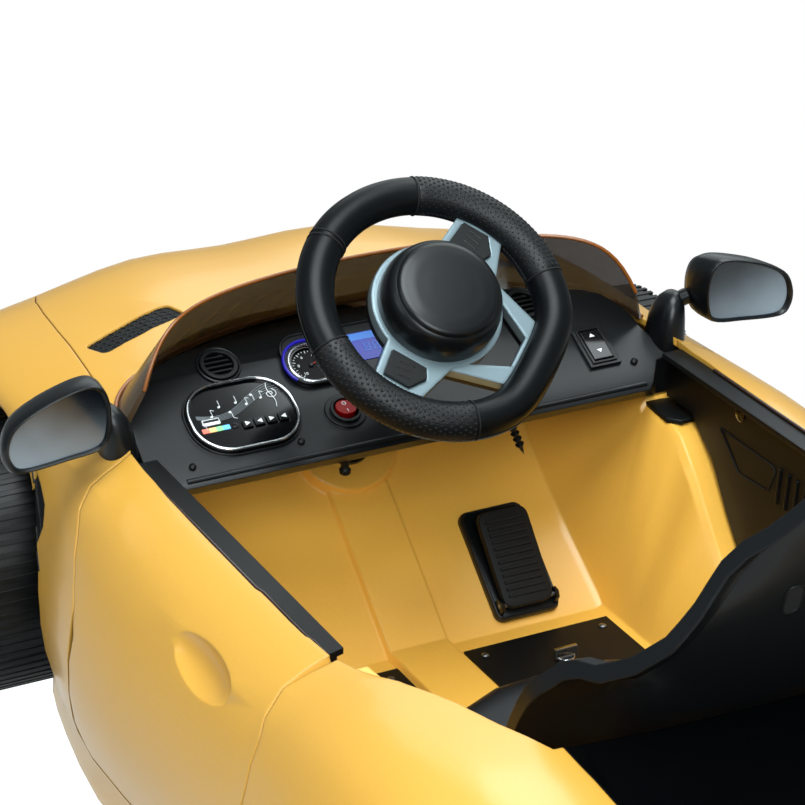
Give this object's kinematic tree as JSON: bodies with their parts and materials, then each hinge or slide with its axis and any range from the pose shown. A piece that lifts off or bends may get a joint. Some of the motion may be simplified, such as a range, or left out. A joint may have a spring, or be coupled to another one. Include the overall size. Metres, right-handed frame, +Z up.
{
  "type": "children's car barber chair",
  "caption": "Open ride-on style car body with seat, doors, windscreen and steering wheel on a swivelling, height-adjustable salon pedestal.",
  "frame": {"origin": "on the floor at the pedestal's axis", "axes": "+Z up; the car's front faces -Y; the car's left side is +X"},
  "size_m": [0.612, 1.04, 0.8311],
  "materials": {
    "chrome": "polished chrome plating",
    "rubber": "moulded black rubber",
    "steel": "turned and zinc-plated steel",
    "frame_paint": "black powder coat",
    "body_yellow": "glossy amber yellow moulding",
    "tub_yellow": "satin amber yellow moulding",
    "trim_black": "satin black moulding",
    "gloss_black": "glossy black moulding",
    "lamp_clear": "clear lamp cover",
    "screen_brown": "tinted clear screen",
    "mirror_glass": "mirror film",
    "button_grey": "grey keys",
    "rocker_red": "red rocker",
    "rim_leather": "black grained wrap",
    "spoke_silver": "satin grey-blue silver paint",
    "tyre_black": "black tread rubber"
  },
  "bodies": {
    "pedestal": {"base_plate": "chrome", "base_ring": "rubber", "pump_housing": "chrome", "lever_pin": "steel"},
    "foot_lever": {"pump_lever": "chrome", "lever_pad": "rubber"},
    "lift": {"pump_piston": "chrome", "swivel_plate": "steel"},
    "steering": {"steering_rim": "rim_leather", "hub_cover": "trim_black", "spoke_frame": "spoke_silver", "steering_shaft": "steel"},
    "key_left": {"spoke_button_left": "trim_black"},
    "key_right": {"spoke_button_right": "trim_black"},
    "track_rod": {"tie_rod": "steel"},
    "knuckle_left": {"left_knuckle": "steel"},
    "knuckle_right": {"right_knuckle": "steel"},
    "wheel_front_left": {"front_left_wheel": "tyre_black"},
    "wheel_front_right": {"front_right_wheel": "tyre_black"},
    "wheel_rear_left": {"rear_left_wheel": "tyre_black"},
    "wheel_rear_right": {"rear_right_wheel": "tyre_black"},
    "door_left": {"left_door": "body_yellow", "left_door_card": "trim_black"},
    "door_right": {"right_door": "body_yellow", "right_door_card": "trim_black"},
    "pedal": {"accelerator_pedal": "trim_black"},
    "power_switch": {"power_rocker": "rocker_red"},
    "direction_switch": {"direction_rocker": "gloss_black"},
    "key_1": {"music_button_1": "button_grey"},
    "key_2": {"music_button_2": "button_grey"},
    "key_3": {"music_button_3": "button_grey"},
    "key_4": {"music_button_4": "button_grey"},
    "seat_catch": {"seat_knob": "steel"},
    "car": {"mount_frame": "frame_paint", "mount_bolts": "steel", "chassis_pan": "trim_black", "footwell_tub": "tub_yellow", "body_shell": "body_yellow", "bonnet": "body_yellow", "front_grille": "trim_black", "lamps": "lamp_clear", "rear_deck": "gloss_black", "windscreen": "screen_brown", "body_vents": "trim_black", "door_hinges": "steel", "left_mirror": "trim_black", "right_mirror": "trim_black", "mirror_glasses": "mirror_glass", "dashboard": "trim_black", "dash_vents": "trim_black", "instrument_pod": "gloss_black", "music_panel": "gloss_black", "switch_bezels": "trim_black", "column_bush": "trim_black", "rear_axle": "steel", "drive_motors": "trim_black", "seat": "trim_black", "seat_base": "trim_black", "battery": "trim_black", "pedal_base": "trim_black"}
  },
  "joints": [
    {"name": "foot_lever_press", "type": "hinge", "parent": "pedestal", "child": "foot_lever", "pos_m": [0, 0.0832, 0.104], "axis": [-1, 0, 0], "range_deg": [0, 20], "stiffness_Nm_per_rad": 12, "springref_deg": -17.19},
    {"name": "lift_height", "type": "slide", "parent": "pedestal", "child": "lift", "axis": [0, 0, 1], "range_m": [0, 0.15]},
    {"name": "car_swivel", "type": "hinge", "parent": "lift", "child": "car", "pos_m": [0, 0, 0.4133], "axis": [0, 0, 1], "continuous": true},
    {"name": "steering_turn", "type": "hinge", "parent": "car", "child": "steering", "pos_m": [0, -0.1, 0.7433], "axis": [0, 0.6691, 0.7431], "range_deg": [-45, 45]},
    {"name": "key_left_press", "type": "slide", "parent": "steering", "child": "key_left", "axis": [0, -0.6691, -0.7431], "range_m": [0, 0.0012], "stiffness_N_per_m": 300, "springref_m": -0.001},
    {"name": "key_right_press", "type": "slide", "parent": "steering", "child": "key_right", "axis": [0, -0.6691, -0.7431], "range_m": [0, 0.0012], "stiffness_N_per_m": 300, "springref_m": -0.001},
    {"name": "track_rod_slide", "type": "slide", "parent": "car", "child": "track_rod", "axis": [1, 0, 0], "range_m": [-0.01128, 0.01128]},
    {"name": "knuckle_left_turn", "type": "hinge", "parent": "car", "child": "knuckle_left", "pos_m": [0.212, -0.3, 0.5253], "axis": [0, 0, 1], "range_deg": [-20, 20]},
    {"name": "knuckle_right_turn", "type": "hinge", "parent": "car", "child": "knuckle_right", "pos_m": [-0.212, -0.3, 0.5253], "axis": [0, 0, 1], "range_deg": [-20, 20]},
    {"name": "wheel_front_left_spin", "type": "hinge", "parent": "knuckle_left", "child": "wheel_front_left", "pos_m": [0.265, -0.3, 0.5253], "axis": [1, 0, 0], "continuous": true},
    {"name": "wheel_front_right_spin", "type": "hinge", "parent": "knuckle_right", "child": "wheel_front_right", "pos_m": [-0.265, -0.3, 0.5253], "axis": [1, 0, 0], "continuous": true},
    {"name": "wheel_rear_left_spin", "type": "hinge", "parent": "car", "child": "wheel_rear_left", "pos_m": [0.265, 0.327, 0.5253], "axis": [1, 0, 0], "continuous": true},
    {"name": "wheel_rear_right_spin", "type": "hinge", "parent": "car", "child": "wheel_rear_right", "pos_m": [-0.265, 0.327, 0.5253], "axis": [1, 0, 0], "continuous": true},
    {"name": "door_left_swing", "type": "hinge", "parent": "car", "child": "door_left", "pos_m": [0.271, -0.0614, 0.5493], "axis": [0, 0, -1], "range_deg": [0, 50]},
    {"name": "door_right_swing", "type": "hinge", "parent": "car", "child": "door_right", "pos_m": [-0.271, -0.0614, 0.5493], "axis": [0, 0, 1], "range_deg": [0, 50]},
    {"name": "pedal_press", "type": "hinge", "parent": "car", "child": "pedal", "pos_m": [-0.093, -0.13005, 0.48059], "axis": [1, 0, 0], "range_deg": [0, 7], "stiffness_Nm_per_rad": 0.6, "springref_deg": -11.46},
    {"name": "power_switch_tip", "type": "hinge", "parent": "car", "child": "power_switch", "pos_m": [0.049, -0.14436, 0.65467], "axis": [1, 0, 0], "range_deg": [-18, 0]},
    {"name": "direction_switch_tip", "type": "hinge", "parent": "car", "child": "direction_switch", "pos_m": [-0.157, -0.15341, 0.65936], "axis": [1, 0, 0], "range_deg": [-10, 10]},
    {"name": "seat_catch_turn", "type": "hinge", "parent": "car", "child": "seat_catch", "pos_m": [-0.087, -0.063, 0.4673], "axis": [0, 0, 1], "range_deg": [0, 90]},
    {"name": "key_1_press", "type": "slide", "parent": "car", "child": "key_1", "axis": [0, -0.4602, -0.8878], "range_m": [0, 0.001], "stiffness_N_per_m": 250, "springref_m": -0.001},
    {"name": "key_2_press", "type": "slide", "parent": "car", "child": "key_2", "axis": [0, -0.4602, -0.8878], "range_m": [0, 0.001], "stiffness_N_per_m": 250, "springref_m": -0.001},
    {"name": "key_3_press", "type": "slide", "parent": "car", "child": "key_3", "axis": [0, -0.4602, -0.8878], "range_m": [0, 0.001], "stiffness_N_per_m": 250, "springref_m": -0.001},
    {"name": "key_4_press", "type": "slide", "parent": "car", "child": "key_4", "axis": [0, -0.4602, -0.8878], "range_m": [0, 0.001], "stiffness_N_per_m": 250, "springref_m": -0.001}
  ],
  "couplings": [
    {"joint": "knuckle_left_turn", "follows": "steering_turn", "ratio": 0.44444},
    {"joint": "knuckle_right_turn", "follows": "steering_turn", "ratio": 0.44444},
    {"joint": "track_rod_slide", "follows": "steering_turn", "m_per_rad": -0.014356}
  ]
}
